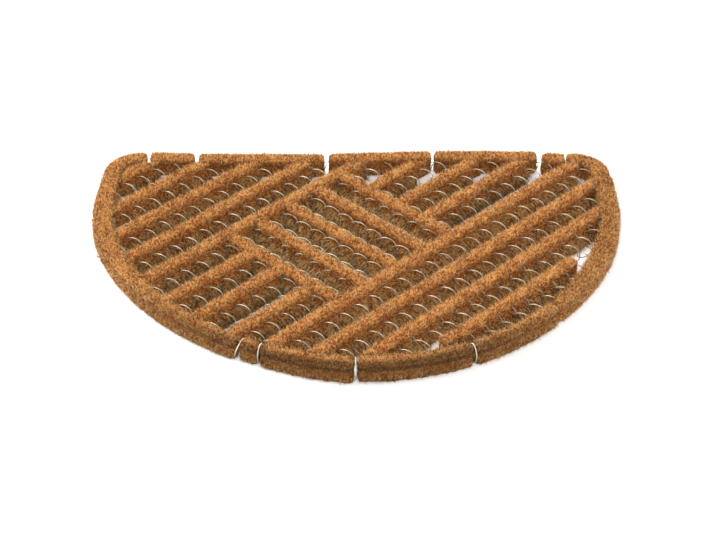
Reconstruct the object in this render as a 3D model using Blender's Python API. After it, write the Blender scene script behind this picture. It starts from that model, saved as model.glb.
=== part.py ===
"""Half-moon scraper doormat of coir brush strips held in a mesh of wire springs.

Metres, +Z up. The mat lies on z = 0 with its straight edge at +Y and its curved edge at -Y.
Coir stands in a wide strip round the edge and in narrower diagonal strips inside it. A flattened
wire coil lies in each gap between two neighbouring strips and braces them at mid-height.
"""

import math
import random
from dataclasses import dataclass
from typing import NamedTuple

import bmesh
import bpy
from mathutils import Vector

# Plan of the whole mat
THICKNESS = 0.032
BACK_Y = 0.2279  # the straight edge
FRONT_Y = -0.2321
WIDEST_Y = 0.1020  # the line where the mat is widest
MIDDLE_X = 0.0016  # where the two halves of the hand-bent outline meet
CORNER_RADIUS = 0.052

# The two halves of the outline. "reach" is from the middle to the widest point, "taper" is how
# much the side comes in from there to its corner, and "power" is the front curve's: 2 would be a
# true ellipse, and less is straighter at the quarters.
HALVES = (
    # side, reach, taper, power
    (1, 0.375, 0.001, 1.89),
    (-1, 0.380, 0.007, 1.80),
)

# Strips of coir
STRIP_WIDTH = 0.0195
STRIP_SLOPE = 0.887  # the strips go back or forward this much for each metre across
RING_SPACING = 0.024  # between the cross-sections along a strip
RING_TURN = math.radians(11)  # and the most that the edge turns between two of them
PLAN_STEP = 0.002  # between the points of the line that runs inside the edge strip
BUTT_GAP = 0.0012  # between the end of a strip and the coir that it runs up against
END_LENGTH = 0.006  # the last cross-sections of a strip lie this far apart
END_ROUNDING = 0.002
TOP_UNEVEN = 0.0018  # the tops are this much lower in places
SIDE_UNEVEN = 0.0010  # and the upper sides this much further in
OPEN_SLIT = 0.001  # the coir is rounded off at slits wider than this

# Wire coils
WIRE_RADIUS = 0.0010
COIL_CENTRE = 0.0145  # height of a coil's axis
COIL_HALF_HEIGHT = 0.0095
COIL_PITCH = 0.0263
COIL_STEPS = 8  # straight lengths in a turn
COIL_CLEARANCE = 0.0004  # between a coil and the waists of the strips beside it
COIL_END_GAP = 0.003

SEED = 4

# Cross-section of a strip, from the floor on one side over the top to the floor on the other.
# "across" is in half widths and "up" in thicknesses. The coir is drawn in where it is held and
# spreads towards both faces.
SECTION = (
    # across, up
    (-0.90, 0.00),
    (-1.00, 0.10),
    (-0.76, 0.47),
    (-1.00, 0.88),
    (-0.80, 0.985),
    (0.00, 1.00),
    (0.80, 0.985),
    (1.00, 0.88),
    (0.76, 0.47),
    (1.00, 0.10),
    (0.90, 0.00),
)
WAIST = 0.76  # how far across the section reaches at mid-height
HEAD = 0.8  # the coir is uneven above this height


class EdgeLength(NamedTuple):
    """One length of the edge strip."""

    name: str
    start: float
    slit: float
    width: float
    out: float
    out_end: float


class Strip(NamedTuple):
    """One diagonal strip."""

    name: str
    rise: int
    offset: float
    left: str | float
    right: str | float


class Gap(NamedTuple):
    """One gap between two neighbouring strips, which a wire coil fills."""

    behind: str
    front: str
    left: str | float
    right: str | float


# Lengths of the edge strip, clockwise seen from above. "start" is the distance along the outline
# from the middle of the straight edge to the slit where the length begins. "slit" is the width
# of that slit and "width" is how wide the strip is there, changing evenly up to the next slit.
# "out" and "out_end" are how far the length stands out of the outline at its two ends, because
# each was set in by hand. Each length ends where the next one starts.
EDGE_LENGTHS = (
    # name, start, slit, width, out, out_end
    EdgeLength("edge_back_0", -0.308, 0.0040, 0.0240, 0.0015, -0.0010),
    EdgeLength("edge_back_1", -0.237, 0.0050, 0.0240, -0.0020, -0.0035),
    EdgeLength("edge_back_2", -0.045, 0.0060, 0.0240, -0.0020, 0.0045),
    EdgeLength("edge_back_3", 0.112, 0.0040, 0.0240, 0.0050, 0.0040),
    EdgeLength("edge_back_4", 0.271, 0.0060, 0.0240, 0.0000, -0.0015),
    EdgeLength("edge_corner_right", 0.310, 0.0020, 0.0240, -0.0010, -0.0010),
    EdgeLength("edge_right_0", 0.408, 0.0010, 0.0310, 0.0010, 0.0010),
    EdgeLength("edge_right_1", 0.602, 0.0006, 0.0305, 0.0005, -0.0010),
    EdgeLength("edge_front_0", 0.729, 0.0015, 0.0220, 0.0000, 0.0020),
    EdgeLength("edge_front_1", 0.873, 0.0030, 0.0215, 0.0015, -0.0015),
    EdgeLength("edge_front_2", 1.035, 0.0040, 0.0260, 0.0015, -0.0028),
    EdgeLength("edge_front_3", 1.167, 0.0020, 0.0200, -0.0030, -0.0030),
    EdgeLength("edge_front_4", 1.198, 0.0030, 0.0200, 0.0005, 0.0010),
    EdgeLength("edge_left_0", 1.360, 0.0006, 0.0250, 0.0013, 0.0010),
    EdgeLength("edge_corner_left", 1.550, 0.0006, 0.0320, -0.0010, 0.0000),
)

EDGE = "edge"

# Diagonal strips. "rise" is 1 where the strip goes back as it goes right, and -1 where it comes
# forward. "offset" is where its middle line crosses x = 0. "left" and "right" say what each end
# runs up against: the edge strip, another strip by name, or a number, the x where it ends free.
STRIPS = (
    # name, rise, offset, left, right
    Strip("left_0", 1, 0.472, EDGE, EDGE),
    Strip("left_1", 1, 0.401, EDGE, EDGE),
    Strip("left_2", 1, 0.335, EDGE, EDGE),
    Strip("left_3", 1, 0.2685, EDGE, EDGE),
    Strip("left_4", 1, 0.200, EDGE, EDGE),
    Strip("right_0", 1, -0.0835, EDGE, EDGE),
    Strip("middle_0", -1, 0.154, "left_4", "right_0"),
    Strip("middle_1", -1, 0.0895, "left_4", "right_0"),
    Strip("middle_2", -1, 0.017, "left_4", "right_0"),
    Strip("middle_3", -1, -0.0563, "left_4", "right_0"),
    Strip("middle_4", -1, -0.123, "left_4", "right_0"),
    Strip("left_5", 1, 0.128, EDGE, "middle_4"),
    Strip("left_6", 1, 0.058, EDGE, "middle_4"),
    Strip("left_7", 1, -0.0175, EDGE, "middle_4"),
    Strip("top_0", 1, 0.125, "middle_0", EDGE),
    Strip("top_1", 1, 0.054, "middle_0", EDGE),
    Strip("top_2", 1, -0.010, "middle_0", EDGE),
    Strip("right_1", 1, -0.152, EDGE, EDGE),
    Strip("right_2", 1, -0.2175, EDGE, EDGE),
    Strip("right_3", 1, -0.282, 0.131, 0.292),
    Strip("right_stub", 1, -0.277, 0.111, 0.123),
)

# Gaps that hold a wire coil: the strips behind and in front, and what the coil stops at on its
# left and right, as for the strips.
GAPS = (
    # behind, front, left, right
    Gap("left_0", "left_1", EDGE, EDGE),
    Gap("left_1", "left_2", EDGE, EDGE),
    Gap("left_2", "left_3", EDGE, EDGE),
    Gap("left_3", "left_4", EDGE, EDGE),
    Gap("left_4", "left_5", EDGE, "middle_4"),
    Gap("left_5", "left_6", EDGE, "middle_4"),
    Gap("left_6", "left_7", EDGE, "middle_4"),
    Gap("left_7", "right_0", EDGE, "middle_4"),
    Gap("middle_0", "middle_1", "left_4", "right_0"),
    Gap("middle_1", "middle_2", "left_4", "right_0"),
    Gap("middle_2", "middle_3", "left_4", "right_0"),
    Gap("middle_3", "middle_4", "left_4", "right_0"),
    Gap("left_4", "top_0", "middle_0", EDGE),
    Gap("top_0", "top_1", "middle_0", EDGE),
    Gap("top_1", "top_2", "middle_0", EDGE),
    Gap("top_2", "right_0", "middle_0", EDGE),
    Gap("right_0", "right_1", EDGE, EDGE),
    Gap("right_1", "right_2", EDGE, EDGE),
    Gap("right_2", "right_3", 0.133, EDGE),
)

COIR_COLOUR = (0.50, 0.235, 0.07, 1.0)
WIRE_COLOUR = (0.62, 0.62, 0.60, 1.0)


def clear_scene():
    """Remove every object of the scene."""
    for obj in list(bpy.data.objects):
        bpy.data.objects.remove(obj, do_unlink=True)


def make_material(name, colour, roughness, metallic):
    """A Principled material of one colour."""
    material = bpy.data.materials.new(name)
    material.use_nodes = True
    shader = material.node_tree.nodes["Principled BSDF"]
    shader.inputs["Base Color"].default_value = colour
    shader.inputs["Roughness"].default_value = roughness
    shader.inputs["Metallic"].default_value = metallic
    material.diffuse_color = colour
    return material


def add_object(name, data, material):
    """Put a mesh or a curve into the scene under its name, with its material."""
    data.materials.append(material)
    obj = bpy.data.objects.new(name, data)
    bpy.context.scene.collection.objects.link(obj)
    return obj


# ---- plan


@dataclass(frozen=True)
class Line:
    """A straight line in the plan, y = offset + slope * x."""

    slope: float
    offset: float

    @property
    def direction(self):
        """Unit vector along the line, to the right."""
        return Vector((1.0, self.slope)).normalized()

    @property
    def normal(self):
        """Unit vector across the line, towards the back."""
        return Vector((-self.slope, 1.0)).normalized()

    def y_at(self, x):
        """The line's y at x."""
        return self.offset + self.slope * x

    def moved(self, distance):
        """The parallel line this far behind."""
        return Line(self.slope, self.offset + distance * math.hypot(1.0, self.slope))

    def meets(self, other):
        """The x where it crosses another line."""
        return (other.offset - self.offset) / (self.slope - other.slope)

    def point(self, along, across=0.0):
        """The plan point this far along the line from x = 0 and this far behind it."""
        return Vector((0.0, self.offset)) + self.direction * along + self.normal * across


class Loop:
    """A closed plan curve that is walked by distance from its first point."""

    def __init__(self, points):
        self.points = points + points[:1]
        self.distances = [0.0]
        for a, b in zip(self.points, self.points[1:]):
            self.distances.append(self.distances[-1] + (b - a).length)
        self.length = self.distances[-1]

    def at(self, distance):
        """The point at a distance along the loop, and the unit direction there."""
        distance %= self.length
        index = next(i for i, far in enumerate(self.distances[1:]) if far >= distance)
        a, b = self.points[index], self.points[index + 1]
        direction = (b - a).normalized()
        return a + direction * (distance - self.distances[index]), direction

    def crossings(self, line):
        """The x of each place where a line crosses the loop, from left to right."""
        found = []
        for a, b in zip(self.points, self.points[1:]):
            above_a = a.y - line.y_at(a.x)
            above_b = b.y - line.y_at(b.x)
            if (above_a > 0) != (above_b > 0):
                found.append(a.x + above_a / (above_a - above_b) * (b.x - a.x))
        return sorted(found)


def half_outline(side, reach, taper, power):
    """One half of the outline, from the end of the straight edge to the middle of the front."""
    corner_steps = 16
    for step in range(corner_steps + 1):
        angle = math.pi / 2 * (1 - step / corner_steps)
        x = reach - taper - CORNER_RADIUS * (1 - math.cos(angle))
        y = BACK_Y - CORNER_RADIUS * (1 - math.sin(angle))
        yield Vector((MIDDLE_X + side * x, y))
    front_steps = 120
    for step in range(front_steps + 1):
        angle = math.pi / 2 * step / front_steps
        x = reach * math.cos(angle) ** (2 / power)
        y = WIDEST_Y - (WIDEST_Y - FRONT_Y) * math.sin(angle) ** (2 / power)
        yield Vector((MIDDLE_X + side * x, y))


def plan_outline():
    """The mat's outline, clockwise from the middle of the straight edge."""
    right, left = (list(half_outline(*row)) for row in HALVES)
    return Loop([Vector((MIDDLE_X, BACK_Y))] + right + left[-2::-1])


def edge_lengths(outline):
    """Each length of the edge strip, where it ends and the length that follows it."""
    for row, following in zip(EDGE_LENGTHS, EDGE_LENGTHS[1:] + EDGE_LENGTHS[:1]):
        end = following.start
        yield row, end if end > row.start else end + outline.length, following


def edge_form(outline, distance):
    """Width of the edge strip at a distance along the outline, and how far out it stands."""
    first = EDGE_LENGTHS[0].start
    distance = first + (distance - first) % outline.length
    for row, end, following in edge_lengths(outline):
        if distance <= end:
            share = (distance - row.start) / (end - row.start)
            width = row.width + (following.width - row.width) * share
            return width, row.out + (row.out_end - row.out) * share
    raise ValueError("the edge lengths do not close")


def inside_edge(outline, gap):
    """The loop that runs this far inside the edge strip."""
    points = []
    count = round(outline.length / PLAN_STEP)
    for index in range(count):
        distance = outline.length * index / count
        point, direction = outline.at(distance)
        forms = [edge_form(outline, distance + beside) for beside in (-PLAN_STEP, PLAN_STEP)]
        depth = gap + max(width - out for width, out in forms)
        points.append(point + Vector((direction.y, -direction.x)) * depth)
    return Loop(points)


class Plan:
    """Where everything lies in the plan."""

    def __init__(self):
        self.outline = plan_outline()
        self.lines = {row.name: Line(row.rise * STRIP_SLOPE, row.offset) for row in STRIPS}
        self.inside = {gap: inside_edge(self.outline, gap) for gap in (BUTT_GAP, COIL_END_GAP)}

    def stop_along(self, line, across, stop, side, gap):
        """How far along a line, from x = 0, the track that runs beside it ends.

        across is how far the track lies behind the line, and side is -1 for its left end and 1
        for its right end.
        """
        track = line.moved(across)
        if stop == EDGE:
            found = self.inside[gap].crossings(track)
            x = found[0] if side < 0 else found[-1]
        elif isinstance(stop, str):
            clear = STRIP_WIDTH / 2 + gap
            near = [track.meets(self.lines[stop].moved(way * clear)) for way in (-1, 1)]
            x = max(near) if side < 0 else min(near)
        else:
            x = stop + across * line.normal.x
        return (x - across * line.normal.x) / line.direction.x

    def strip_end(self, line, stop, side):
        """How far along a line the back side and the front side of its strip end."""
        shares = (1, 0.5, 0, -0.5, -1)
        reach = STRIP_WIDTH / 2
        found = [side * self.stop_along(line, share * reach, stop, side, BUTT_GAP) for share in shares]
        middle, slant = (found[0] + found[-1]) / 2, (found[0] - found[-1]) / 2
        over = max(middle + share * slant - along for share, along in zip(shares, found))
        return side * (found[0] - over), side * (found[-1] - over)


# ---- solids


def section_ring(bm, centre, axis, half_width, rng, rounding=0.0):
    """Add one cross-section, whose points lie out from the plan point centre along axis."""
    ring = []
    for across, up in SECTION:
        reach = abs(across) * half_width - rounding
        z = up * THICKNESS
        if up > HEAD:
            reach -= rng.uniform(0, SIDE_UNEVEN)
            z -= rounding / 2 + rng.uniform(0, TOP_UNEVEN)
        plan = centre + axis * math.copysign(max(reach, 0.0), across)
        ring.append(bm.verts.new((plan.x, plan.y, z)))
    return ring


def add_strip(name, bm, rings, material):
    """Join the cross-sections of a strip, close its two ends and make it an object."""
    count = len(SECTION)
    for ring, following in zip(rings, rings[1:]):
        for index in range(count):
            after = (index + 1) % count
            bm.faces.new((ring[index], ring[after], following[after], following[index]))
    for ring in (rings[0], rings[-1]):
        for index in range(count // 2):
            mirrored = count - 1 - index
            corners = (ring[index], ring[index + 1], ring[mirrored - 1], ring[mirrored])
            bm.faces.new(dict.fromkeys(corners))
    bmesh.ops.recalc_face_normals(bm, faces=bm.faces)
    if bm.calc_volume(signed=True) < 0:
        bmesh.ops.reverse_faces(bm, faces=bm.faces)
    mesh = bpy.data.meshes.new(name)
    bm.to_mesh(mesh)
    bm.free()
    return add_object(name, mesh, material)


def edge_positions(outline, start, end):
    """Distances of the cross-sections of one length of the edge strip, closer where it bends."""
    positions = [start, start + END_LENGTH]
    distance = positions[-1]
    _, last_direction = outline.at(distance)
    while distance < end - END_LENGTH - RING_SPACING / 2:
        distance += PLAN_STEP
        _, direction = outline.at(distance)
        if distance - positions[-1] >= RING_SPACING or direction.angle(last_direction) >= RING_TURN:
            positions.append(distance)
            last_direction = direction
    return positions + [end - END_LENGTH, end]


def build_edge(plan, material, rng):
    """Every length of the coir strip round the edge."""
    for row, end, following in edge_lengths(plan.outline):
        bm = bmesh.new()
        positions = edge_positions(plan.outline, row.start + row.slit / 2, end - following.slit / 2)
        slits = {positions[0]: row.slit, positions[-1]: following.slit}
        rings = []
        for distance in positions:
            point, direction = plan.outline.at(distance)
            inward = Vector((direction.y, -direction.x))
            width, out = edge_form(plan.outline, distance)
            rounding = END_ROUNDING if slits.get(distance, 0.0) > OPEN_SLIT else 0.0
            centre = point + inward * (width / 2 - out)
            rings.append(section_ring(bm, centre, inward, width / 2, rng, rounding))
        add_strip(row.name, bm, rings, material)


def build_strips(plan, material, rng):
    """Every diagonal strip, cut off at each end along what it runs up against."""
    half = STRIP_WIDTH / 2
    for row in STRIPS:
        bm = bmesh.new()
        line = plan.lines[row.name]
        left = plan.strip_end(line, row.left, -1)
        right = plan.strip_end(line, row.right, 1)
        start, end = max(left) + END_LENGTH, min(right) - END_LENGTH
        places = [left]
        if end > start:
            steps = max(1, round((end - start) / RING_SPACING))
            places += [(start + (end - start) * step / steps,) * 2 for step in range(steps + 1)]
        places.append(right)
        rings = []
        for at_back, at_front in places:
            centre = line.point((at_back + at_front) / 2)
            axis = line.normal + line.direction * (at_back - at_front) / STRIP_WIDTH
            rings.append(section_ring(bm, centre, axis, half, rng))
        add_strip(row.name, bm, rings, material)


def coil_points(line, start, end, half_width):
    """The middle line of a flattened coil that runs along a line."""
    turns = (end - start) / COIL_PITCH
    steps = max(COIL_STEPS, round(turns * COIL_STEPS))
    for step in range(steps + 1):
        angle = 2 * math.pi * turns * step / steps
        along = start + (end - start) * step / steps
        plan = line.point(along, half_width * math.cos(angle))
        yield plan.x, plan.y, COIL_CENTRE + COIL_HALF_HEIGHT * math.sin(angle)


def add_wire(name, points, material):
    """A round wire through a list of points."""
    curve = bpy.data.curves.new(name, "CURVE")
    curve.dimensions = "3D"
    curve.bevel_depth = WIRE_RADIUS
    curve.bevel_resolution = 0
    curve.use_fill_caps = True
    spline = curve.splines.new("POLY")
    spline.points.add(len(points) - 1)
    for spline_point, (x, y, z) in zip(spline.points, points):
        spline_point.co = (x, y, z, 1.0)
    return add_object(name, curve, material)


def build_coils(plan, material):
    """The wire coil of each gap, as wide as the gap at the waists of its strips."""
    for gap in GAPS:
        behind, front = plan.lines[gap.behind], plan.lines[gap.front]
        line = Line(behind.slope, (behind.offset + front.offset) / 2)
        spacing = (behind.offset - front.offset) * line.direction.x
        reach = spacing / 2 - STRIP_WIDTH / 2 * WAIST - COIL_CLEARANCE
        tracks = (-reach, 0.0, reach)
        start = max(plan.stop_along(line, across, gap.left, -1, COIL_END_GAP) for across in tracks)
        end = min(plan.stop_along(line, across, gap.right, 1, COIL_END_GAP) for across in tracks)
        points = list(coil_points(line, start, end, reach - WIRE_RADIUS))
        add_wire(f"coil_{gap.behind}_{gap.front}", points, material)


def main():
    """Build the whole mat."""
    clear_scene()
    rng = random.Random(SEED)
    coir = make_material("coir", COIR_COLOUR, roughness=0.9, metallic=0.0)
    wire = make_material("galvanised_wire", WIRE_COLOUR, roughness=0.45, metallic=1.0)
    plan = Plan()
    build_edge(plan, coir, rng)
    build_strips(plan, coir, rng)
    build_coils(plan, wire)


if __name__ == "__main__":
    main()
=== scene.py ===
"""Half-moon doormat: brushes of coir held in a net of steel springs."""

import logging
import math
from dataclasses import dataclass
from enum import Enum
from typing import Any, Union

import bmesh
import bpy
from mathutils import Matrix, Vector

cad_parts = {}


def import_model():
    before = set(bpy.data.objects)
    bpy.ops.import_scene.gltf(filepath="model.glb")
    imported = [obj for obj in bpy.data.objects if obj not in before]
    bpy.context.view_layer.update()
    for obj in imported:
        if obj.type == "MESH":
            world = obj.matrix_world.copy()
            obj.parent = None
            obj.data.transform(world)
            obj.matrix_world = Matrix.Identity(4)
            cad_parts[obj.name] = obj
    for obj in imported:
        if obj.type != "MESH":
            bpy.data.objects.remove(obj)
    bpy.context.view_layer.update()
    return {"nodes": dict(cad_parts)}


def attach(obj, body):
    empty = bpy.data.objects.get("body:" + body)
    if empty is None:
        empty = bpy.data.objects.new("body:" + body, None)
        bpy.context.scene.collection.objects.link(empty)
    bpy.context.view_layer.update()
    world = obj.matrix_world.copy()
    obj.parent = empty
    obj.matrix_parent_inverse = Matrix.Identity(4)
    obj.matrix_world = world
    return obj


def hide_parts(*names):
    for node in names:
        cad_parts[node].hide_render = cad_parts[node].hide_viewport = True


LOG = logging.getLogger("doormat")

UP = Vector((0.0, 0.0, 1.0))
WHITE = (1.0, 1.0, 1.0, 1.0)
ROOT_MARK = 0.01  # The mark at a fibre's root. It grows by one to the tip, and a bare body has none.

Number = Union[float, "Value"]
Span = tuple[float, float]
Colour = tuple[float, float, float, float]


class Value:
    """A socket that takes part in arithmetic, so that a formula adds its own Math nodes."""

    def __init__(self, tree: "Tree", socket: bpy.types.NodeSocket) -> None:
        """Wrap one output socket.

        Args:
            tree: The tree that the socket's node is in.
            socket: The output socket.
        """
        self.tree = tree
        self.socket = socket

    def __add__(self, other: Number) -> "Value":
        """Add."""
        return self.tree.math("ADD", self, other)

    def __sub__(self, other: Number) -> "Value":
        """Subtract."""
        return self.tree.math("SUBTRACT", self, other)

    def __rsub__(self, other: float) -> "Value":
        """Subtract from a number."""
        return self.tree.math("SUBTRACT", other, self)

    def __mul__(self, other: Number) -> "Value":
        """Multiply."""
        return self.tree.math("MULTIPLY", self, other)

    def __truediv__(self, other: Number) -> "Value":
        """Divide."""
        return self.tree.math("DIVIDE", self, other)

    def __rtruediv__(self, other: float) -> "Value":
        """Divide a number."""
        return self.tree.math("DIVIDE", other, self)

    def __neg__(self) -> "Value":
        """Turn the sign."""
        return self * -1.0

    def __abs__(self) -> "Value":
        """Drop the sign."""
        return self.tree.math("ABSOLUTE", self)

    __radd__ = __add__
    __rmul__ = __mul__

    def low(self, other: Number) -> "Value":
        """The lower of two."""
        return self.tree.math("MINIMUM", self, other)

    def high(self, other: Number) -> "Value":
        """The higher of two."""
        return self.tree.math("MAXIMUM", self, other)

    def over(self, limit: Number) -> "Value":
        """One where the value is over the limit, and zero elsewhere."""
        return self.tree.math("GREATER_THAN", self, limit)

    def between(self, start: Number, end: Number) -> "Value":
        """Go from one number to another while the value goes from zero to one."""
        return start + self * (end - start)

    def step(self, start: float, end: float) -> "Value":
        """Rise smoothly from zero to one.

        Args:
            start: The value that gives zero.
            end: The value that gives one.

        Returns:
            The smoothed share, between zero and one.
        """
        settings = {"interpolation_type": "SMOOTHSTEP"}
        sockets = {"Value": self, "From Min": start, "From Max": end}
        return self.tree.add("ShaderNodeMapRange", settings, sockets)[0]


class Made:
    """The outputs of a node that was just added."""

    def __init__(self, tree: "Tree", node: bpy.types.Node) -> None:
        """Keep the node.

        Args:
            tree: The tree it is in.
            node: The node.
        """
        self.tree = tree
        self.node = node

    def __getitem__(self, key: int | str) -> Value:
        """One output, by name or place."""
        return Value(self.tree, self.node.outputs[key])


class Tree:
    """A node tree, with one method that adds any node and short ways to add the usual ones."""

    def __init__(self, tree: bpy.types.NodeTree) -> None:
        """Wrap a tree.

        Args:
            tree: The material's or modifier's tree.
        """
        self.tree = tree

    def add(self, kind: str, settings: dict[str, Any] | None = None,
            sockets: dict[int | str, Any] | None = None) -> Made:
        """Add a node.

        Args:
            kind: The node's type.
            settings: Its settings, set first.
            sockets: The values or links of its sockets, by name or place.

        Returns:
            The node's outputs.
        """
        node = self.tree.nodes.new(kind)
        for name, value in (settings or {}).items():
            setattr(node, name, value)
        for key, value in (sockets or {}).items():
            for one in value if isinstance(value, list) else [value]:
                if isinstance(one, Value):
                    self.tree.links.new(one.socket, node.inputs[key])
                else:
                    node.inputs[key].default_value = one
        return Made(self, node)

    def math(self, operation: str, *values: Number) -> Value:
        """Work out one Math operation on numbers or values.

        Args:
            operation: The Math node's operation.
            values: What it works on.

        Returns:
            The result.
        """
        return self.add("ShaderNodeMath", {"operation": operation}, dict(enumerate(values)))[0]

    def vector(self, operation: str, *values: Any, scale: Number | None = None) -> Value:
        """Work out one Vector Math operation.

        Args:
            operation: The node's operation.
            values: The vectors it works on.
            scale: The factor, for the scale operation.

        Returns:
            The resulting vector.
        """
        sockets: dict[int | str, Any] = dict(enumerate(values))
        if scale is not None:
            sockets["Scale"] = scale
        return self.add("ShaderNodeVectorMath", {"operation": operation}, sockets)[0]

    def mix(self, share: Number, low: Any, high: Any) -> Value:
        """Mix two colours.

        Args:
            share: How much of the second colour there is.
            low: The first colour.
            high: The second colour.

        Returns:
            The mixed colour.
        """
        return self.add("ShaderNodeMix", {"data_type": "RGBA"}, {0: share, 6: low, 7: high})[2]

    def height(self, vector: Value) -> Value:
        """The upright part of a vector."""
        return self.add("ShaderNodeSeparateXYZ", {}, {0: vector})["Z"]

    def random(self, low: float, high: float, seed: int) -> Value:
        """A random number between two, another one for each fibre."""
        sockets = {2: low, 3: high, "Seed": seed}
        return self.add("FunctionNodeRandomValue", {"data_type": "FLOAT"}, sockets)[1]

    def named(self, name: str, kind: str = "FLOAT") -> Value:
        """An attribute of the mesh that the tree works on."""
        return self.add("GeometryNodeInputNamedAttribute", {"data_type": kind}, {"Name": name})[0]

    def store(self, geometry: Value, name: str, value: Value, domain: str) -> Value:
        """Keep a number on a geometry.

        Args:
            geometry: The geometry.
            name: The attribute's name.
            value: The number.
            domain: What gets one number each.

        Returns:
            The geometry with the attribute.
        """
        settings = {"data_type": "FLOAT", "domain": domain}
        sockets = {"Geometry": geometry, "Name": name, "Value": value}
        return self.add("GeometryNodeStoreNamedAttribute", settings, sockets)[0]

    def surface(self, sockets: dict[int | str, Any]) -> None:
        """End a material in one shader with these sockets."""
        shader = self.add("ShaderNodeBsdfPrincipled", {}, sockets)
        self.add("ShaderNodeOutputMaterial", {}, {"Surface": shader[0]})


def colour(red: float, green: float, blue: float) -> Colour:
    """Turn a colour as seen on a screen into the linear one that a shader takes.

    Args:
        red: Red, from 0 to 255.
        green: Green, from 0 to 255.
        blue: Blue, from 0 to 255.

    Returns:
        The linear colour with full alpha.
    """
    shares = [c / 255.0 for c in (red, green, blue)]
    return (*[s / 12.92 if s <= 0.04045 else ((s + 0.055) / 1.055) ** 2.4 for s in shares], 1.0)


def new_material(name: str) -> tuple[bpy.types.Material, Tree]:
    """Start a material.

    Args:
        name: Its name.

    Returns:
        The material and its empty tree.
    """
    material = bpy.data.materials.new(name)
    material.use_nodes = True
    material.node_tree.nodes.clear()
    return material, Tree(material.node_tree)


class Slot(Enum):
    """The names of the two material slots."""

    COIR = "coir"
    WIRE = "wire"


@dataclass(frozen=True)
class Grain:
    """A noise: how many lumps fit in a metre, how many finer layers it has, and how strong they are."""

    scale: float
    detail: float
    rough: float

    def at(self, place: Value) -> Value:
        """The noise at a place, about one half in the middle."""
        sockets = {"Vector": place, "Scale": self.scale, "Detail": self.detail, "Roughness": self.rough}
        return place.tree.add("ShaderNodeTexNoise", {}, sockets)[0]


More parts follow.
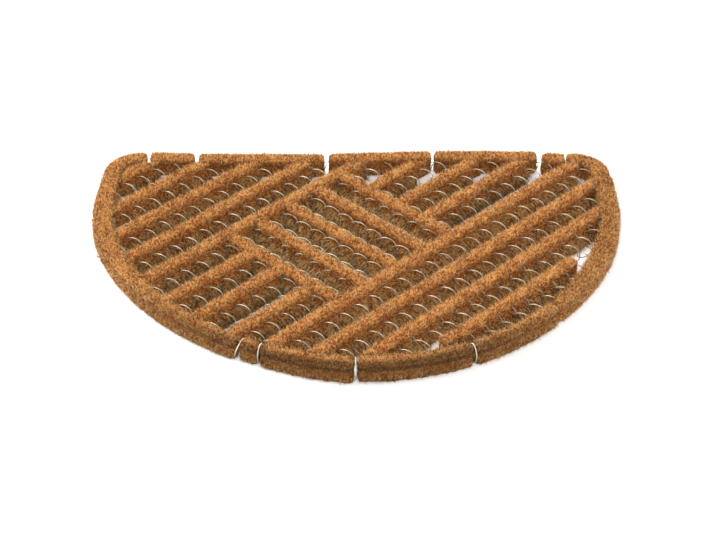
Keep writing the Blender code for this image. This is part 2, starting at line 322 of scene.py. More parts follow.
@dataclass(frozen=True)
class CoirFinish:
    """Brown coconut fibre: golden at its cut tips and reddish towards its roots, with painted shade
    that darkens it towards its roots and in its body between the fibres.

    A span says from where to where something comes in, over a noise, a mark or a height, and a
    share says how much of it there is. The shares of the blend are those of the single fibre,
    the tuft, the blotch and the patch.
    """

    # root is painted shade: the dark that the fibres take towards their roots, and the body between
    # them, deep in the pile.
    root: Colour = colour(92, 61, 28)
    red: Colour = colour(176, 98, 44)
    brown: Colour = colour(204, 142, 78)
    gold: Colour = colour(246, 204, 130)
    straw: Colour = colour(250, 228, 188)
    olive: Colour = colour(170, 146, 84)
    shadow: Colour = colour(50, 31, 12)
    # foot_shade is painted shade at the foot of the inner strips, near the floor between them.
    foot_shade: Colour = colour(84, 66, 40)
    patch: Grain = Grain(36.0, 3.0, 0.6)
    mottle: Grain = Grain(150.0, 2.0, 0.6)
    tuft: Grain = Grain(300.0, 2.0, 0.6)
    speckle: Grain = Grain(700.0, 3.0, 0.7)
    upright: tuple[float, float, float] = (1.0, 1.0, 0.22)
    patch_span: Span = (0.36, 0.64)
    tuft_span: Span = (0.40, 0.60)
    speckle_span: Span = (0.36, 0.60)
    body_span: Span = (0.4, 0.6)
    body_share: float = 0.6
    blend: tuple[float, float, float, float] = (0.34, 0.36, 0.18, 0.12)
    blotch_span: Span = (0.38, 0.62)
    gold_span: Span = (0.34, 0.66)
    olive_span: Span = (0.40, 0.48)
    olive_share: float = 0.5
    straw_span: Span = (0.78, 0.99)
    tip_span: Span = (-0.5, 0.5)
    pale_span: Span = (0.18, 0.56)
    dullest: float = 0.10
    light_span: Span = (0.0, 0.9)
    # Painted light: deep_light lifts the inner strips' fibres towards their tip colour, and the share
    # of painted shade takes some of it back.
    deep_light: float = 0.56
    shade_lift_loss: float = 0.34
    # The band round the waist, the lower outer wall and the outer rim get painted shade, most where an
    # edge faces the front.
    waist: float = 0.0235
    band: float = 0.0105
    band_gain: float = 1.3
    band_inside: float = 0.25
    band_behind: float = 0.35
    band_top: Span = (0.0275, 0.0310)
    wall_shades: Span = (0.22, 0.70)
    wall_top: Span = (0.022, 0.031)
    rim_span: Span = (0.30, 0.85)
    rim_top: Span = (0.022, 0.029)
    rim_share: float = 0.85
    speckle_share: float = 0.60
    foot_shade_top: float = 0.0145
    foot_shade_share: float = 0.8
    bump: float = 0.8
    bump_height: float = 0.0012
    roughness: float = 0.85
    specular: float = 0.12

    def painted_shade_share(self, mark: dict[str, Value], level: Value, spots: Value) -> Value:
        """Find how much painted shade a place gets: a dark band round the waist, darker down the outer
        wall and along the outer rim where the edge faces the front, and the edge's own share of painted
        shade.

        Args:
            mark: The attributes of the coir.
            level: The height over the floor.
            spots: The speckle.

        Returns:
            The share of the shadow's colour.
        """
        front, outer = mark["front"], 1.0 - mark["deep"]
        # Painted shade: a dark band round the waist, strongest on the edge where it faces the front and
        # weakest on the inner strips.
        waist = (1.0 - abs(level - self.waist) / self.band).high(0.0)
        waist = waist * mark["deep"].between(1.0, self.band_inside)
        waist = (waist * self.band_gain).low(1.0) * front.between(self.band_behind, 1.0)
        waist = waist * (1.0 - level.step(*self.band_top))
        # Painted shade down the outer wall of the edge, darker where it faces the front.
        wall = front.between(*self.wall_shades) * (1.0 - level.step(*self.wall_top)) * outer
        # Painted shade along the top of the edge near its outline, where it faces the front.
        rim = front * mark["rim"].step(*self.rim_span) * level.step(*self.rim_top) * self.rim_share
        dark = waist.high(wall).high(rim) * spots.between(self.speckle_share, 1.0)
        # A length of the edge also takes its own share of painted shade all over.
        return dark.high(mark["soil"] * outer)

    def make(self) -> bpy.types.Material:
        """Make the material.

        Returns:
            The material.
        """
        material, tree = new_material("coir_fibre")
        mark = {name: tree.add("ShaderNodeAttribute", {"attribute_name": name})["Fac"]
                for name in ("tip", "tint", "deep", "soil", "front", "rim")}
        place = tree.add("ShaderNodeTexCoord")["Object"]
        level = tree.height(place)
        patch = self.patch.at(place).step(*self.patch_span)
        mottle = self.mottle.at(place)
        tuft = self.tuft.at(place).step(*self.tuft_span)
        drawn = tree.add("ShaderNodeMapping", {}, {"Vector": place, "Scale": self.upright})[0]
        fine = self.speckle.at(drawn)
        spots = fine.step(*self.speckle_span)
        warm = patch * (1.0 - self.body_share) + mottle.step(*self.body_span) * self.body_share
        # The body between the fibres is speckled with the dark root colour, a painted shade.
        body = tree.mix((spots + tuft) * 0.5, self.root, tree.mix(warm, self.red, self.brown))
        one, tufted, blotched, patched = self.blend
        pale = mark["tint"] * one + tuft * tufted + mottle.step(*self.blotch_span) * blotched \
            + patch * patched
        hair = tree.mix(pale.step(*self.gold_span), self.red, self.gold)
        aged = (1.0 - mottle.step(*self.olive_span)) * tuft * self.olive_share
        hair = tree.mix(aged, hair, self.olive)
        hair = tree.mix(mark["tint"].step(*self.straw_span), hair, self.straw)
        # Each fibre goes from the dark root colour up to its tip colour, a painted shade deep in the
        # pile; dull tufts stay darker.
        light = mark["tip"].step(*self.tip_span) * pale.step(*self.pale_span).between(self.dullest, 1.0)
        light = light.step(*self.light_span)
        # Painted light lifts the inner strips' fibres, less where they get more painted shade.
        painted_lift = (mark["deep"] * self.deep_light - mark["soil"] * self.shade_lift_loss).high(0.0)
        hair = tree.mix(painted_lift.between(light, 1.0), self.root, hair)
        shade = tree.mix(mark["tip"].over(ROOT_MARK / 10.0), body, hair)
        shade = tree.mix(self.painted_shade_share(mark, level, spots), shade, self.shadow)
        # Painted shade at the foot of the inner strips, near the floor between them.
        foot = mark["deep"] * mark["soil"] * (1.0 - level.step(0.0, self.foot_shade_top))
        shade = tree.mix(foot * self.foot_shade_share, shade, self.foot_shade)
        bump = tree.add("ShaderNodeBump", {}, {"Strength": self.bump, "Distance": self.bump_height,
                                               "Height": fine})
        tree.surface({"Base Color": shade, "Roughness": self.roughness,
                      "Specular IOR Level": self.specular, "Normal": bump[0]})
        return material


@dataclass(frozen=True)
class WireFinish:
    """Galvanised spring steel, pale and a little dull, with painted shade low down among the coir."""

    bright: Colour = colour(212, 202, 178)
    dull: Colour = colour(156, 146, 122)
    shaded_low: Colour = colour(112, 94, 70)
    spot: Grain = Grain(90.0, 3.0, 0.6)
    spot_span: Span = (0.35, 0.6)
    unshaded_span: Span = (0.013, 0.0235)
    roughness: Span = (0.3, 0.6)
    metal: float = 0.35

    def make(self) -> bpy.types.Material:
        """Make the material.

        Returns:
            The material.
        """
        material, tree = new_material("galvanised_wire")
        place = tree.add("ShaderNodeTexCoord")["Object"]
        spots = self.spot.at(place)
        shade = tree.mix(spots.step(*self.spot_span), self.dull, self.bright)
        # Painted shade: the wire darkens below the waist of the brushes.
        shade = tree.mix(tree.height(place).step(*self.unshaded_span), self.shaded_low, shade)
        tree.surface({"Base Color": shade, "Metallic": self.metal,
                      "Roughness": spots.between(*self.roughness)})
        return material


@dataclass(frozen=True)
class Half:
    """One side of the half-moon.

    side is 1 on the right and -1 on the left, reach is how far the curve goes out, taper how much
    less the back corner does, and power how square the curve is.
    """

    side: int
    reach: float
    taper: float
    power: float


@dataclass(frozen=True)
class Plan:
    """The mat's outline, seen from above, and where its springs lie."""

    middle: float = 0.0016
    back: float = 0.2279
    front: float = -0.2321
    widest: float = 0.1020
    corner: float = 0.052
    halves: tuple[Half, Half] = (Half(1, 0.375, 0.001, 1.89), Half(-1, 0.380, 0.007, 1.80))
    deepest: float = 0.032
    halvings: int = 6
    first_spring: float = 0.0235
    spring_spacing: float = 0.0197

    def half(self, across: float) -> Half:
        """The half that a place across the mat is in."""
        return self.halves[0] if across >= self.middle else self.halves[1]

    def limits(self, across: float) -> tuple[float, float]:
        """Find how far the mat goes to the front and the back.

        Args:
            across: A place across the mat.

        Returns:
            The outline's front and back there.
        """
        half = self.half(across)
        out = abs(across - self.middle)
        curve = max(0.0, 1.0 - (out / half.reach) ** half.power) ** (1.0 / half.power)
        front = self.widest - (self.widest - self.front) * curve
        turn = max(0.0, out - (half.reach - half.taper - self.corner)) / self.corner
        back = self.back - self.corner * (1.0 - math.sqrt(max(0.0, 1.0 - turn * turn)))
        return front, back

    def depth(self, point: Vector) -> float:
        """Find how far inside the outline a place is, up to the deepest that counts.

        Args:
            point: The place.

        Returns:
            The distance to the edge, or zero outside it.
        """
        out = self.outward(point)
        near, far = 0.0, self.deepest
        for _ in range(self.halvings):
            middle = (near + far) / 2.0
            place = point + out * middle
            front, back = self.limits(place.x)
            inside = front < place.y < back
            near, far = (middle, far) if inside else (near, middle)
        return near

    def outward(self, point: Vector) -> Vector:
        """Find the way out of the mat at a place near its edge.

        Args:
            point: The place.

        Returns:
            The level direction out of the mat.
        """
        half = self.half(point.x)
        out = abs(point.x - self.middle)
        start = half.reach - half.taper - self.corner
        if point.y > self.back - self.corner:
            way = Vector((half.side * max(0.0, out - start), point.y - self.back + self.corner, 0.0))
            return way.normalized() if out > start else Vector((0.0, 1.0, 0.0))
        if point.y > self.widest:
            return Vector((half.side, 0.0, 0.0))
        deep = self.widest - self.front
        down = (self.widest - point.y) / deep
        way = (half.side * (out / half.reach) ** (half.power - 1.0) / half.reach,
               -(down ** (half.power - 1.0)) / deep, 0.0)
        return Vector(way).normalized()


def evaluated(piece: bpy.types.Object) -> bpy.types.Object:
    """Turn what a piece's modifiers make into its own plain mesh, and remove them.

    Args:
        piece: The piece.

    Returns:
        The piece.
    """
    graph = bpy.context.evaluated_depsgraph_get()
    made = bpy.data.meshes.new_from_object(
        piece.evaluated_get(graph), preserve_all_data_layers=True, depsgraph=graph)
    piece.modifiers.clear()
    piece.data = made
    made.name = piece.name
    return piece


def grown(piece: bpy.types.Object, group: bpy.types.NodeTree, values: dict[str, Any]) -> None:
    """Run a Geometry Nodes tree on a piece, and keep what it makes.

    Args:
        piece: The piece.
        group: The tree.
        values: Its inputs, by name.
    """
    modifier = piece.modifiers.new(group.name, "NODES")
    modifier.node_group = group
    for item in group.interface.items_tree:
        if item.in_out == "INPUT" and item.name in values:
            modifier[item.identifier] = values[item.name]
    evaluated(piece)


def placed(name: str, data: bpy.types.ID) -> bpy.types.Object:
    """Put new data into the scene, as an object at the origin.

    Args:
        name: The object's name.
        data: The mesh, light or camera.

    Returns:
        The object.
    """
    piece = bpy.data.objects.new(name, data)
    bpy.context.scene.collection.objects.link(piece)
    return piece


def marked(piece: bpy.types.Object, label: str, values: list[float]) -> None:
    """Give each point of a piece a number."""
    layer = piece.data.attributes.new(label, "FLOAT", "POINT")
    layer.data.foreach_set("value", values)


def new_group(name: str, inputs: dict[str, float | int | None]
              ) -> tuple[bpy.types.NodeTree, Tree, Made]:
    """Start a Geometry Nodes tree.

    Args:
        name: Its name.
        inputs: The first value of each input, by name. One with no value takes a material.

    Returns:
        The tree, its wrapper, and the group's inputs.
    """
    group = bpy.data.node_groups.new(name, "GeometryNodeTree")
    for way in ("INPUT", "OUTPUT"):
        group.interface.new_socket("Geometry", in_out=way, socket_type="NodeSocketGeometry")
    kinds = {float: "NodeSocketFloat", int: "NodeSocketInt", type(None): "NodeSocketMaterial"}
    for label, value in inputs.items():
        socket = group.interface.new_socket(label, in_out="INPUT", socket_type=kinds[type(value)])
        if value is not None:
            socket.default_value = value
    tree = Tree(group)
    return group, tree, tree.add("NodeGroupInput")


class Kind(Enum):
    """The two kinds of coir brush."""

    EDGE = "edge"
    STRIP = "strip"


@dataclass(frozen=True)
class Pile:
    """How the fibres of a brush grow. Lengths are in metres, and counts are per square metre.

    A slope is a span over the upright part of the way that the surface faces, end_span is one over
    the part along the brush, and a blend is the height over which one growth turns into another.
    """

    inset: float = 0.0002
    top_count: float = 650000.0
    side_count: float = 145000.0
    low_count: float = 230000.0
    under_count: float = 15000.0
    top_length: float = 0.0052
    side_length: float = 0.0085
    low_length: float = 0.0060
    width: float = 0.00046
    splay: float = 0.75
    low_splay: float = 0.35
    end_hold: float = 0.85
    lean: float = 0.40
    tuft_lean: float = 1.1
    tuft: Grain = Grain(230.0, 1.0, 0.5)
    waist: float = 0.0150
    height: float = 0.0335
    top_slope: Span = (0.2, 0.7)
    under_slope: Span = (0.3, 0.8)
    flat_slope: Span = (0.4, 0.9)
    end_span: Span = (0.4, 0.8)
    inset_blend: float = 0.010
    foot_blend: float = 0.004
    rise_blend: float = 0.006
    spare_room: float = 0.0016
    low_room: float = 0.0060
    low_gain: float = 2.0
    low_width: float = 1.5
    sizes: Span = (0.5, 1.15)
    tuft_sizes: Span = (0.55, 1.45)
    widths: Span = (0.6, 1.1)
    spin: float = 6.283
    floor_gap: float = 0.0002
    size_seed: int = 3
    turn_seed: int = 7
    tint_seed: int = 11

    def turned(self, tree: Tree, given: Made, level: Value, out: Value, tuft: Made) -> Value:
        """Find the way that each fibre points and is turned.

        Args:
            tree: The tree.
            given: The group's inputs.
            level: The height over the floor.
            out: The way that the surface faces.
            tuft: The noise that bends whole tufts.

        Returns:
            The turn of each fibre.
        """
        run = tree.named("run", "FLOAT_VECTOR")
        along = tree.add("ShaderNodeVectorMath", {"operation": "DOT_PRODUCT"},
                         {0: out, 1: run})["Value"]
        end = abs(along).step(*self.end_span)
        rise = ((level - given["Waist"]) / self.rise_blend).low(1.0).high(-1.0)
        low = (-rise).high(0.0)
        splay = low.between(given["Splay"], given["Low Splay"]) * (1.0 - end * given["End Hold"])
        up = tree.add("ShaderNodeCombineXYZ", {}, {"Z": rise})[0]
        # The noise goes half a unit to each side of its middle, so the sway is doubled below.
        sway = tree.vector("SUBTRACT", tuft["Color"], (0.5, 0.5, 0.5))
        chance = tree.add("FunctionNodeRandomValue", {"data_type": "FLOAT_VECTOR"},
                          {0: (-1.0, -1.0, -1.0), 1: (1.0, 1.0, 1.0), "Seed": given["Seed"]})[0]
        level_out = tree.vector("NORMALIZE", tree.named("side", "FLOAT_VECTOR"))
        out = tree.add("ShaderNodeMix", {"data_type": "VECTOR"},
                       {0: low * (1.0 - end), 4: out, 5: level_out})[1]
        aim = tree.vector("ADD", tree.vector("SCALE", out, scale=splay), up)
        aim = tree.vector("ADD", aim, tree.vector("SCALE", chance, scale=given["Lean"]))
        aim = tree.vector("ADD", aim, tree.vector("SCALE", sway, scale=given["Tuft Lean"] * 2.0))
        turn = tree.add("FunctionNodeAlignRotationToVector", {"axis": "Z"}, {"Vector": aim})[0]
        spun = tree.add("FunctionNodeAxisAngleToRotation", {},
                        {"Axis": tuple(UP), "Angle": tree.random(0.0, self.spin, self.turn_seed)})[0]
        return tree.add("FunctionNodeRotateRotation", {"rotation_space": "LOCAL"},
                        {"Rotation": turn, "Rotate By": spun})[0]

    def scaled(self, tree: Tree, given: Made, level: Value, side: Value, tuft: Made) -> Value:
        """Find how wide and long each fibre is.

        Args:
            tree: The tree.
            given: The group's inputs.
            level: The height over the floor.
            side: How far a place is on a side, and not on the top.
            tuft: The noise that makes whole tufts longer.

        Returns:
            The scale of each fibre.
        """
        low = ((given["Waist"] - level) / self.rise_blend).low(1.0).high(0.0)
        room = (given["Height"] - level).high(0.0) + self.spare_room
        low_length = given["Low Length"].low(level * self.low_gain + self.low_room)
        side_length = low.between(given["Side Length"].low(room), low_length)
        length = side.between(given["Top Length"], side_length)
        size = tree.random(*self.sizes, self.size_seed) * tuft[0].between(*self.tuft_sizes)
        wide = given["Fibre Width"] * size.between(*self.widths) * low.between(1.0, self.low_width)
        return tree.add("ShaderNodeCombineXYZ", {}, {0: wide, 1: wide, 2: length * size})[0]

    def group(self) -> bpy.types.NodeTree:
        """Make the tree that grows the fibres.

        Returns:
            The tree.
        """
        group, tree, given = new_group("coir_pile", {
            "Inset": self.inset, "Top Count": self.top_count, "Side Count": self.side_count,
            "Low Count": self.low_count, "Under Count": self.under_count,
            "Top Length": self.top_length, "Side Length": self.side_length,
            "Low Length": self.low_length, "Fibre Width": self.width, "Splay": self.splay,
            "Low Splay": self.low_splay, "End Hold": self.end_hold, "Lean": self.lean,
            "Tuft Lean": self.tuft_lean, "Tuft Scale": self.tuft.scale, "Waist": self.waist,
            "Height": self.height, "Seed": 1, "Coir": None})
        way = tree.add("GeometryNodeInputNormal")[0]
        place = tree.add("GeometryNodeInputPosition")[0]
        level = tree.height(place)
        back = tree.vector("SCALE", way, scale=-given["Inset"] * (level / self.inset_blend).low(1.0))
        core = tree.add("GeometryNodeSetPosition", {},
                        {"Geometry": given["Geometry"], "Offset": back})[0]
        steep = tree.height(way)
        foot = ((given["Waist"] - level) / self.foot_blend).low(1.0).high(0.0)
        top = steep.step(*self.top_slope) * (1.0 - foot)
        under = (-steep).step(*self.under_slope)
        side = foot.between(given["Side Count"], given["Low Count"]) * (1.0 - tree.named("bare") * foot)
        count = side * (1.0 - top) * (1.0 - under) + given["Top Count"] * top \
            + given["Under Count"] * under
        spread = tree.add("GeometryNodeDistributePointsOnFaces", {"distribute_method": "RANDOM"},
                          {"Mesh": core, "Density": count, "Seed": given["Seed"]})
        out = spread["Normal"]
        side = (1.0 - abs(tree.height(out)).step(*self.flat_slope)).high(foot)
        tuft = tree.add("ShaderNodeTexNoise", {}, {
            "Vector": place, "Scale": given["Tuft Scale"], "Detail": self.tuft.detail,
            "Roughness": self.tuft.rough})
        turn = self.turned(tree, given, level, out, tuft)
        scale = self.scaled(tree, given, level, side, tuft)
        # A spike one unit wide and one long, which each fibre's scale makes thin.
        spike = tree.add("GeometryNodeMeshCone", {"fill_type": "NGON"},
                         {"Vertices": 3, "Radius Top": 0.0, "Radius Bottom": 0.5, "Depth": 1.0})[0]
        spike = tree.store(spike, "tip", level + ROOT_MARK, "POINT")
        hairs = tree.add("GeometryNodeInstanceOnPoints", {}, {
            "Points": spread["Points"], "Instance": spike, "Rotation": turn, "Scale": scale})[0]
        hairs = tree.store(hairs, "tint", tree.random(0.0, 1.0, self.tint_seed), "INSTANCE")
        hairs = tree.add("GeometryNodeRealizeInstances", {}, {"Geometry": hairs})[0]
        whole = tree.add("GeometryNodeJoinGeometry", {}, {"Geometry": [hairs, core]})[0]
        lift = tree.add("ShaderNodeCombineXYZ", {}, {"Z": (self.floor_gap - level).high(0.0)})[0]
        whole = tree.add("GeometryNodeSetPosition", {}, {"Geometry": whole, "Offset": lift})[0]
        whole = tree.add("GeometryNodeSetMaterial", {},
                         {"Geometry": whole, "Material": given["Coir"]})[0]
        tree.add("NodeGroupOutput", {}, {"Geometry": whole})
        return group


def quarter_turn(way: Vector) -> Vector:
    """The level direction to the left of another."""
    return Vector((-way.y, way.x, 0.0))


def sideways(normal: Vector, run: Vector) -> Vector:
    """Find the level way out of a brush, across the way it runs.

    Args:
        normal: Which way the surface faces.
        run: The way the brush runs.

    Returns:
        The way out, shorter where the surface faces up, down or along the brush.
    """
    level = Vector((normal.x, normal.y, 0.0))
    return level - run * level.dot(run)


@dataclass
class Brushes:
    """Every brush of coir: the lengths of the edge, and the strips inside it.

    bare_places gives the place across, the place to the back and the reach of each spot where the floor
    shows beside a strip, and painted_shades the share of painted shade of the brushes whose names start
    so: at the foot of an inner strip, and all over a length of the edge.
    """

    nodes: dict[str, bpy.types.Object]
    plan: Plan
    finish: CoirFinish
    pile: Pile
    slope: float = 0.887
    end_hold: float = 0.2
    low_splay: float = 2.4
    low_length: float = 0.0150
    low_count: float = 330000.0
    cell: float = 0.0036
    smoothing: float = 0.5
    softness: int = 5
    foot_width: float = 0.0150
    foot_height: float = 0.0120
    foot_end: float = 0.0180
    stretch: float = 0.0030
    far_strip: str = "right_3"
    far_stretch: float = 0.0110
    bare_places: tuple[tuple[float, float, float], ...] = (
        (0.104, 0.203, 0.030), (0.184, 0.203, 0.024), (0.104, -0.158, 0.018), (0.132, -0.134, 0.016),
        (-0.339, 0.104, 0.018),
    )
    rim_width: float = 0.024
    painted_shades: tuple[tuple[str, float], ...] = (
        ("right", 0.45), ("edge_right", 0.16), ("edge_corner_right", 0.08),
    )
    bare_gain: float = 2.0
    bulge: float = 0.0009
    front_start: float = 0.60
    front_blend: float = 0.35
    least_side: float = 0.05
    side_gain: float = 2.0

    def kind(self, name: str) -> Kind:
        """Whether a brush is a length of the edge or a strip."""
        return Kind.EDGE if name.startswith("edge") else Kind.STRIP

    def run(self, name: str, point: Vector) -> Vector:
        """Find the way a brush runs.

        Args:
            name: The brush's node.
            point: A place on it.

        Returns:
            The level direction along it.
        """
        if self.kind(name) is Kind.EDGE:
            return quarter_turn(self.plan.outward(point))
        rise = -self.slope if name.startswith("middle") else self.slope
        return Vector((1.0, rise, 0.0)).normalized()

    def core(self, name: str) -> bpy.types.Object:
        """Make the soft body of a brush from its solid, and mark the way it runs.

        Args:
            name: The brush's node.

        Returns:
            The piece, with no fibres yet.
        """
        shape = bmesh.new()
        shape.from_mesh(self.nodes[name].data)
        bmesh.ops.remove_doubles(shape, verts=shape.verts, dist=1e-6)
        mesh = bpy.data.meshes.new(name + "_pile")
        shape.to_mesh(mesh)
        shape.free()
        piece = placed(name + "_pile", mesh)
        cells = piece.modifiers.new("cells", "REMESH")
        cells.mode = "VOXEL"
        cells.voxel_size = self.cell
        soften = piece.modifiers.new("soften", "SMOOTH")
        soften.factor = self.smoothing
        soften.iterations = self.softness
        evaluated(piece)
        points = piece.data.vertices
        runs = [self.run(name, point.co) for point in points]
        sides = [sideways(point.normal, run) for point, run in zip(points, runs)]
        for label, ways in (("run", runs), ("side", sides)):
            layer = piece.data.attributes.new(label, "FLOAT_VECTOR", "POINT")
            layer.data.foreach_set("vector", [part for way in ways for part in way])
        inner = self.kind(name) is Kind.STRIP
        if inner:
            bare = [self.bareness(point.co) for point in points]
            marked(piece, "bare", bare)
            self.spread_foot(piece, runs[0], sides, bare)
        else:
            self.mark_rim(piece)
        # The share of painted shade: at the foot of an inner strip, and all over a length of the edge.
        soil = next((share for start, share in self.painted_shades if name.startswith(start)), float(inner))
        marked(piece, "deep", [float(inner)] * len(points))
        marked(piece, "soil", [soil] * len(points))
        return piece

    def bareness(self, point: Vector) -> float:
        """Find how bare of low fibres a place is, so that the floor shows through beside it.

        Args:
            point: The place.

        Returns:
            One in the middle of a bare place, and zero outside them all.
        """
        near = [1.0 - math.hypot(point.x - across, point.y - back) / reach
                for across, back, reach in self.bare_places]
        return min(1.0, max(0.0, *near) * self.bare_gain)

    def mark_rim(self, piece: bpy.types.Object) -> None:
        """Mark how near each point of an edge brush is to the front and to the mat's outline, which
        steer its painted shade.

        Args:
            piece: The edge brush.
        """
        places = [point.co for point in piece.data.vertices]
        facing = [max(0.0, -self.plan.outward(p).y - self.front_start) for p in places]
        marked(piece, "front", [min(1.0, share / self.front_blend) for share in facing])
        marked(piece, "rim", [1.0 - min(1.0, self.plan.depth(p) / self.rim_width) for p in places])

    def spread_foot(self, piece: bpy.types.Object, run: Vector, sides: list[Vector],
                    bare: list[float]) -> None:
        """Spread the foot of a strip's body towards its neighbours.

        Args:
            piece: The strip.
            run: The way it runs.
            sides: The way out at each of its points.
            bare: How bare each of its points is.
        """
        far = self.far_stretch if piece.name.startswith(self.far_strip) else self.stretch
        along = [point.co.dot(run) for point in piece.data.vertices]
        first, last = min(along), max(along)
        for point, place, side, open_ in zip(piece.data.vertices, along, sides, bare):
            share = max(0.0, 1.0 - point.co.z / self.foot_height) ** 2 * (1.0 - open_)
            room = min(1.0, min(place - first, last - place) / self.foot_end)
            wave = math.cos((point.co.x - self.plan.first_spring) / self.plan.spring_spacing * math.tau)
            reach = (self.foot_width * share + self.bulge * wave * (1.0 - share)) * room
            if side.length > self.least_side:
                point.co += side.normalized() * (reach * min(1.0, side.length * self.side_gain))
            push = far if place > (first + last) / 2.0 else -self.stretch
            point.co += run * (push * (1.0 - room))

    def build(self) -> list[bpy.types.Object]:
        """Make and dress every brush.

        Returns:
            The pieces.
        """
        coir = self.finish.make()
        group = self.pile.group()
        made = []
        for seed, name in enumerate(sorted(n for n in self.nodes if not n.startswith("coil"))):
            piece = self.core(name)
            values = {"Seed": seed + 1, "Coir": coir}
            if self.kind(name) is Kind.STRIP:
                values |= {"End Hold": self.end_hold, "Low Splay": self.low_splay,
                           "Low Length": self.low_length, "Low Count": self.low_count}
            grown(piece, group, values)
            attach(piece, "root")
            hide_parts(name)
            made.append(piece)
        return made


@dataclass
class SpringNet:
    """Springs that run from front to back, each hooked through its neighbours half a turn along."""

    nodes: dict[str, bpy.types.Object]
    plan: Plan
    finish: WireFinish
    columns: int = 20
    top: float = 0.0509
    pitch: float = 0.03492
    half_width: float = 0.0116
    half_height: float = 0.0098
    centre: float = 0.0148
    wire: float = 0.0007
    clear: float = 0.011
    steps: int = 20
    sides: int = 5

    def axes(self) -> bpy.types.Object:
        """Make the line that each spring winds round, with how far its turns are shifted.

        Returns:
            The piece, as bare lines.
        """
        points: list[tuple[float, float, float]] = []
        shifts: list[float] = []
        for column in range(-self.columns, self.columns):
            across = self.plan.first_spring + self.plan.spring_spacing * column
            reach = self.plan.half(across).reach - self.clear - self.half_width
            if abs(across - self.plan.middle) > reach:
                continue
            front, back = self.plan.limits(across)
            points += [(across, front + self.clear, 0.0), (across, back - self.clear, 0.0)]
            shifts += [0.5 * (column % 2)] * 2  # Every second spring is half a turn on.
        mesh = bpy.data.meshes.new("springs")
        mesh.from_pydata(points, [(i, i + 1) for i in range(0, len(points), 2)], [])
        piece = placed("springs", mesh)
        marked(piece, "shift", shifts)
        return piece

    def group(self) -> bpy.types.NodeTree:
        """Make the tree that winds a wire round each line.

        Returns:
            The tree.
        """
        group, tree, given = new_group("spring_net", {
            "Pitch": self.pitch, "First Top": self.top, "Half Width": self.half_width,
            "Half Height": self.half_height, "Centre Height": self.centre,
            "Wire Radius": self.wire, "Steps": self.steps, "Steel": None})
        lines = tree.add("GeometryNodeMeshToCurve", {}, {"Mesh": given["Geometry"]})[0]
        lines = tree.add("GeometryNodeResampleCurve", {"mode": "LENGTH"},
                         {"Curve": lines, "Length": given["Pitch"] / given["Steps"]})[0]
        place = tree.add("ShaderNodeSeparateXYZ", {}, {0: tree.add("GeometryNodeInputPosition")[0]})
        # A quarter of a turn brings the wire to its highest point at the first top.
        turns = (place["Y"] - given["First Top"]) / given["Pitch"] - tree.named("shift") + 0.25
        angle = turns * math.tau
        across = place["X"] + given["Half Width"] * tree.math("COSINE", angle)
        height = given["Centre Height"] + given["Half Height"] * tree.math("SINE", angle)
        wound = tree.add("ShaderNodeCombineXYZ", {}, {0: across, 1: place["Y"], 2: height})[0]
        wires = tree.add("GeometryNodeSetPosition", {}, {"Geometry": lines, "Position": wound})[0]
        ring = tree.add("GeometryNodeCurvePrimitiveCircle", {"mode": "RADIUS"},
                        {"Resolution": self.sides, "Radius": given["Wire Radius"]})[0]
        wires = tree.add("GeometryNodeCurveToMesh", {},
                         {"Curve": wires, "Profile Curve": ring, "Fill Caps": True})[0]
        wires = tree.add("GeometryNodeRealizeInstances", {}, {"Geometry": wires})[0]
        wires = tree.add("GeometryNodeSetShadeSmooth", {"domain": "FACE"}, {"Geometry": wires})[0]
        wires = tree.add("GeometryNodeSetMaterial", {},
                         {"Geometry": wires, "Material": given["Steel"]})[0]
        tree.add("NodeGroupOutput", {}, {"Geometry": wires})
        return group

    def build(self) -> bpy.types.Object:
        """Make and dress the net.

        Returns:
            The piece.
        """
        piece = self.axes()
        grown(piece, self.group(), {"Steel": self.finish.make()})
        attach(piece, "root")
        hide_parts(*sorted(n for n in self.nodes if n.startswith("coil")))
        return piece


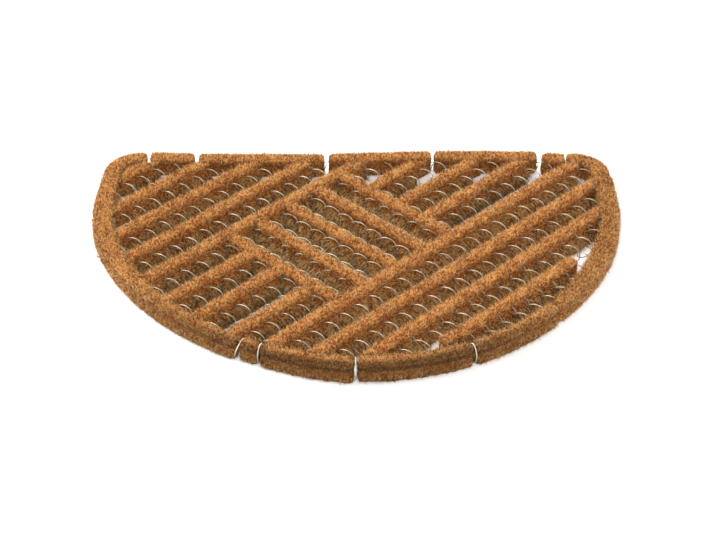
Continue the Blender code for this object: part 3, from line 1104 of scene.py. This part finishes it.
@dataclass
class ButtRings:
    """The wire rings that stand between two lengths of the front edge, on its section's line."""

    nodes: dict[str, bpy.types.Object]
    plan: Plan
    finish: WireFinish
    joints: tuple[tuple[str, str, float], ...] = (
        ("edge_front_0", "edge_front_1", 0.0), ("edge_front_1", "edge_front_2", 0.0),
        ("edge_front_2", "edge_front_3", 0.0), ("edge_front_3", "edge_front_4", 0.3),
    )
    grow: float = 0.0012
    low: float = 0.0022
    high: float = 0.0318
    wire: float = 0.0009
    steps: int = 30
    sides: int = 6
    end: float = 0.0008
    near: float = 0.010

    def place(self, first: str, second: str) -> tuple[Vector, Vector, float]:
        """Find where two lengths of the edge meet.

        Args:
            first: One length's node.
            second: The other's.

        Returns:
            The middle of the joint, the way out of the mat, and the edge's width.
        """
        meeting = []
        centres = []
        for name in (first, second):
            points = [v.co for v in self.nodes[name].data.vertices]
            centres.append((points, sum(points, Vector()) / len(points)))
        for (points, own), (_, other) in (centres, centres[::-1]):
            way = (other - own).normalized()
            reach = max(p.dot(way) for p in points)
            meeting += [p for p in points if p.dot(way) > reach - self.near]
        out = self.plan.outward(sum(meeting, Vector()) / len(meeting))
        along = quarter_turn(out)
        edges = []
        for (points, own), (_, other) in (centres, centres[::-1]):
            side = 1.0 if (other - own).dot(along) > 0.0 else -1.0
            reach = max(side * p.dot(along) for p in meeting if p in points)
            edges += [p for p in points if side * p.dot(along) > reach - self.end]
        middle = sum(edges, Vector()) / len(edges)
        spread = [p.dot(out) for p in edges]
        inner, outer = min(spread), max(spread)
        middle += out * ((inner + outer) / 2.0 - middle.dot(out))
        return Vector((middle.x, middle.y, 0.0)), out, outer - inner

    def ring(self, shape: bmesh.types.BMesh, first: str, second: str, lean: float) -> None:
        """Add one ring.

        Args:
            shape: What it is added to.
            first: The node on one side of it.
            second: The node on the other side.
            lean: How far its top leans along the edge, as a share of its height.
        """
        middle, out, width = self.place(first, second)
        along = quarter_turn(out)
        up = UP + along * lean
        centre = middle + UP * (self.low + self.high) / 2.0
        wide, tall = width / 2.0 + self.grow, (self.high - self.low) / 2.0
        rows = []
        for step in range(self.steps):
            angle = math.tau * step / self.steps
            level = out * (math.cos(angle) * wide) + up * (math.sin(angle) * tall)
            way = (out * math.cos(angle) + UP * math.sin(angle)).normalized()
            turns = [math.tau * k / self.sides for k in range(self.sides)]
            rows.append([shape.verts.new(centre + level + self.wire * (
                way * math.cos(turn) + along * math.sin(turn))) for turn in turns])
        for row, after in zip(rows, rows[1:] + rows[:1]):
            for k in range(self.sides):
                nxt = (k + 1) % self.sides
                shape.faces.new((row[k], after[k], after[nxt], row[nxt]))

    def build(self) -> bpy.types.Object:
        """Make and dress the rings.

        Returns:
            The piece.
        """
        shape = bmesh.new()
        for first, second, lean in self.joints:
            self.ring(shape, first, second, lean)
        bmesh.ops.recalc_face_normals(shape, faces=shape.faces)
        for face in shape.faces:
            face.smooth = True
        mesh = bpy.data.meshes.new("butt_rings")
        shape.to_mesh(mesh)
        shape.free()
        mesh.materials.append(self.finish.make())
        piece = placed("butt_rings", mesh)
        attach(piece, "root")
        return piece


@dataclass(frozen=True)
class Lamp:
    """A broad, even, soft light from one side. heading is 0 from the back and grows to the left."""

    name: str
    heading: float
    rise: float
    power: float
    softness: float

    def build(self) -> None:
        """Make the light."""
        data = bpy.data.lights.new(self.name, "SUN")
        data.energy = self.power
        data.angle = math.radians(self.softness)
        lamp = placed(self.name, data)
        turn = math.radians(self.heading)
        rise = math.radians(self.rise)
        level = math.cos(rise)
        lamp.location = (-level * math.sin(turn), level * math.cos(turn), math.sin(rise))
        lamp.rotation_euler = (-lamp.location).to_track_quat("-Z", "Y").to_euler()


@dataclass
class Studio:
    """The pale floor, the soft lights and the camera.

    view_ratio is the length of the lens over the width of its sensor.
    """

    lamps: tuple[Lamp, ...] = (
        Lamp("key", 54.0, 50.0, 3.2, 40.0),
        Lamp("back", 8.0, 24.0, 2.8, 40.0),
        Lamp("fill", 205.0, 40.0, 1.1, 60.0),
    )
    sky: float = 0.84
    floor_size: float = 12.0
    floor_shade: float = 0.92
    floor_roughness: float = 0.9
    floor_specular: float = 0.1
    glow: float = 0.25
    target: tuple[float, float] = (0.0012, -0.0062)
    distance: float = 2.3225
    height_angle: float = 41.0
    turn: float = 0.96
    roll: float = 0.6
    sensor: float = 36.0
    view_ratio: float = 1668.0 / 716.0

    def floor(self) -> None:
        """Make the floor."""
        half = self.floor_size / 2.0
        mesh = bpy.data.meshes.new("floor")
        corners = [(-half, -half, 0.0), (half, -half, 0.0), (half, half, 0.0), (-half, half, 0.0)]
        mesh.from_pydata(corners, [], [(0, 1, 2, 3)])
        plane = placed("floor", mesh)
        material, tree = new_material("pale_floor")
        tree.surface({"Base Color": (*[self.floor_shade] * 3, 1.0), "Roughness": self.floor_roughness,
                      "Specular IOR Level": self.floor_specular, "Emission Color": WHITE,
                      "Emission Strength": self.glow})
        mesh.materials.append(material)

    def light(self) -> None:
        """Make the lights and the even sky."""
        for lamp in self.lamps:
            lamp.build()
        world = bpy.data.worlds.new("studio")
        world.use_nodes = True
        sky = world.node_tree.nodes["Background"]
        sky.inputs["Color"].default_value = WHITE
        sky.inputs["Strength"].default_value = self.sky
        bpy.context.scene.world = world
        bpy.context.scene.view_settings.view_transform = "Standard"

    def camera(self) -> None:
        """Make the camera, which looks down at the mat from the front."""
        data = bpy.data.cameras.new("camera")
        data.lens = self.view_ratio * self.sensor
        data.sensor_width = self.sensor
        camera = placed("camera", data)
        rise = math.radians(self.height_angle)
        turned = Matrix.Rotation(-math.radians(self.turn), 4, "Z")
        look = Matrix.Rotation(math.pi / 2.0 - rise, 4, "X")
        tilt = Matrix.Rotation(math.radians(self.roll), 4, "Z")
        back = Vector((0.0, -self.distance * math.cos(rise), self.distance * math.sin(rise)))
        target = Vector((*self.target, 0.0))
        camera.matrix_world = Matrix.Translation(target + turned.to_3x3() @ back) @ turned @ look @ tilt
        bpy.context.scene.camera = camera

    def build(self) -> None:
        """Make the whole studio."""
        self.floor()
        self.light()
        self.camera()


def triangles(piece: bpy.types.Object) -> int:
    """Count a piece's triangles."""
    return sum(len(face.vertices) - 2 for face in piece.data.polygons)


def main() -> None:
    """Dress the frame's solids as the finished mat."""
    logging.basicConfig(level=logging.INFO, format="%(message)s")
    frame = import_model()
    nodes = frame["nodes"]
    plan = Plan()
    Studio().build()
    pieces = Brushes(nodes, plan, CoirFinish(), Pile()).build()
    pieces.append(SpringNet(nodes, plan, WireFinish()).build())
    # The butt rings take a lighter painted shade low down.
    pieces.append(ButtRings(nodes, plan, WireFinish(shaded_low=colour(150, 134, 108))).build())
    for piece in pieces:
        LOG.info("%s: %d triangles", piece.name, triangles(piece))
    LOG.info("%d pieces, %d triangles", len(pieces), sum(triangles(p) for p in pieces))


if __name__ == "__main__":
    main()
